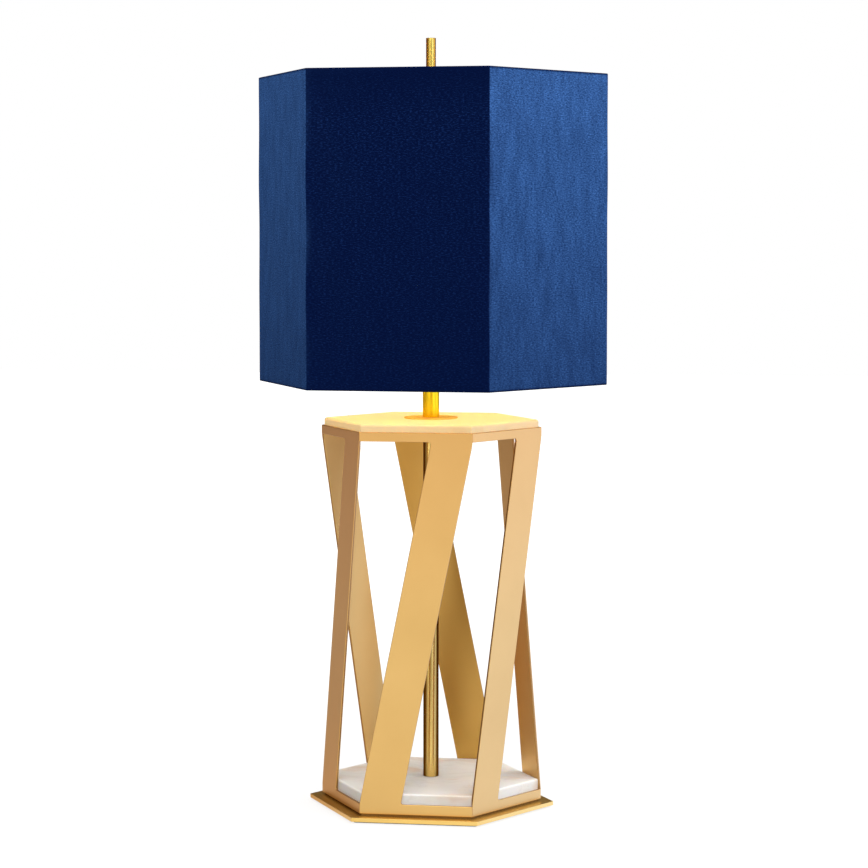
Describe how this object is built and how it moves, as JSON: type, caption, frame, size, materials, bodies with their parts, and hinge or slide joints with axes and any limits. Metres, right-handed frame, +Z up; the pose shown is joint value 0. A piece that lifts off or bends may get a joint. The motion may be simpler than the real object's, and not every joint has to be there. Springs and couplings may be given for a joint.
{
  "type": "table lamp",
  "caption": "Table lamp with a hexagonal brass cage of leaning bands between marble slabs, a flat plate base, a navy velvet hexagonal shade on a harp and a rod finial.",
  "frame": {"origin": "centre of the underside of the felt pad, on the axis of the stem", "axes": "+Z up along the stem, +X through a corner of the base, -Y through the middle of the front side"},
  "size_m": [0.3534, 0.3162, 0.7635],
  "materials": {
    "felt": "pressed felt",
    "brass_brushed": "fine brushed, lacquered",
    "brass_polished": "polished, lacquered",
    "brass_plated": "brass plated",
    "steel": "zinc plated",
    "marble": "honed white marble",
    "black_plastic": "moulded",
    "insulating_card": "pressed card",
    "bulb_metal": "bright",
    "bulb_glass": "frosted, lit",
    "velvet": "cut pile velvet",
    "shade_lining": "white laminated sheet"
  },
  "bodies": {
    "stand": {"base_felt": "felt", "base_plate": "brass_brushed", "cage_panel_1": "brass_brushed", "cage_panel_2": "brass_brushed", "cage_panel_3": "brass_brushed", "cage_panel_4": "brass_brushed", "cage_panel_5": "brass_brushed", "cage_panel_6": "brass_brushed", "lower_stem": "brass_polished", "rosette": "brass_polished", "upper_stem": "brass_polished", "stem_cap": "brass_polished", "harp_saddle": "brass_plated", "harp_bow": "brass_plated", "harp_stud": "brass_plated", "socket_cap": "brass_plated", "socket_shell": "brass_plated", "socket_screw_shell": "brass_plated", "socket_contact": "brass_plated", "terminal_screws": "brass_plated", "base_screws": "steel", "cage_floor": "steel", "cage_roof": "steel", "pipe_nut": "steel", "pipe_washer": "steel", "threaded_pipe": "steel", "lower_stem_bushes": "steel", "upper_stem_bushes": "steel", "base_marble": "marble", "top_marble": "marble", "cord_bushing": "black_plastic", "socket_body": "black_plastic", "socket_liner": "insulating_card"},
    "shade": {"shade_cover": "velvet", "shade_liner": "shade_lining", "shade_top_ring": "brass_plated", "shade_bottom_ring": "brass_plated", "spider_hub": "brass_plated", "shade_spider": "brass_plated"},
    "finial_foot": {"finial_washer": "brass_polished"},
    "finial": {"finial": "brass_polished"},
    "switch_key": {"switch_key": "black_plastic"},
    "bulb_foot": {"bulb_tip": "bulb_metal"},
    "bulb": {"bulb_insulator": "black_plastic", "bulb_cap": "bulb_metal", "bulb_globe": "bulb_glass"},
    "left_sleeve": {"harp_sleeve_left": "brass_plated"},
    "right_sleeve": {"harp_sleeve_right": "brass_plated"}
  },
  "joints": [
    {"name": "shade_swivel", "type": "hinge", "parent": "stand", "child": "shade", "pos_m": [0, 0, 0.7042], "axis": [0, 0, 1], "continuous": true},
    {"name": "finial_rise", "type": "slide", "parent": "stand", "child": "finial_foot", "axis": [0, 0, 1], "range_m": [0, 0.0094]},
    {"name": "finial_turn", "type": "hinge", "parent": "finial_foot", "child": "finial", "pos_m": [0, 0, 0.7042], "axis": [0, 0, 1], "range_deg": [0, 3960]},
    {"name": "key_turn", "type": "hinge", "parent": "stand", "child": "switch_key", "pos_m": [0, -0.02, 0.4963], "axis": [0, -1, 0], "continuous": true},
    {"name": "bulb_rise", "type": "slide", "parent": "stand", "child": "bulb_foot", "axis": [0, 0, 1], "range_m": [0, 0.02177]},
    {"name": "bulb_turn", "type": "hinge", "parent": "bulb_foot", "child": "bulb", "pos_m": [0, 0, 0.53], "axis": [0, 0, 1], "range_deg": [0, 2520]},
    {"name": "left_sleeve_slide", "type": "slide", "parent": "stand", "child": "left_sleeve", "axis": [0, 0, 1], "range_m": [0, 0.014]},
    {"name": "right_sleeve_slide", "type": "slide", "parent": "stand", "child": "right_sleeve", "axis": [0, 0, 1], "range_m": [0, 0.014]}
  ],
  "couplings": [
    {"joint": "finial_turn", "follows": "finial_rise", "rad_per_m": 6684.2},
    {"joint": "bulb_turn", "follows": "bulb_rise", "rad_per_m": 1731.4}
  ]
}
